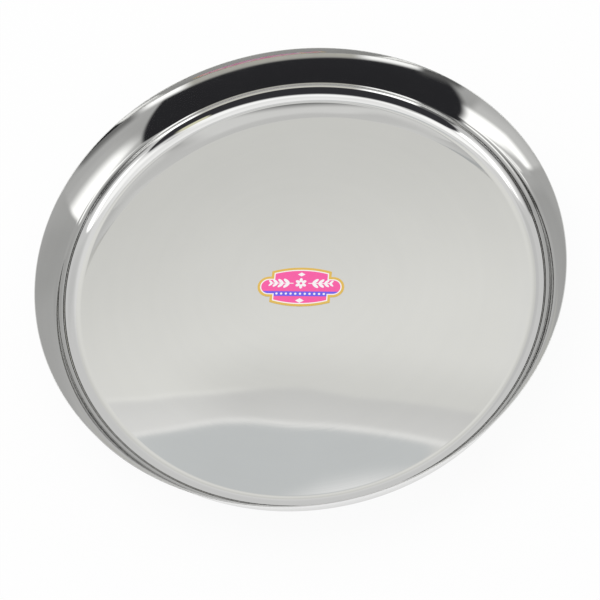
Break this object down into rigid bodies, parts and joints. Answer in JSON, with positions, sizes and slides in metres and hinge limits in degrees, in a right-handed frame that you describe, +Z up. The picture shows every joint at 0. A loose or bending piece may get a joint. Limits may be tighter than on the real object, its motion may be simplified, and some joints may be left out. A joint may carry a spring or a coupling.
{
  "type": "thali plate",
  "caption": "Round stainless steel thali: a flat floor, a rounded corner and a low steep wall that opens gently to its thin rim, for serving a meal; a printed paper sticker lies on the floor.",
  "frame": {"origin": "middle of the underside of the flat floor, on the plane that the plate stands on", "axes": "+Z up along the dish's axis; +X along the length of the sticker; +Y towards the sticker's top edge"},
  "size_m": [0.33, 0.33, 0.038],
  "materials": {
    "polished_steel": "mirror polished, with faint circular buffing marks",
    "printed_paper": "gloss printed"
  },
  "bodies": {
    "root": {"dish": "polished_steel", "label": "printed_paper"}
  },
  "joints": []
}
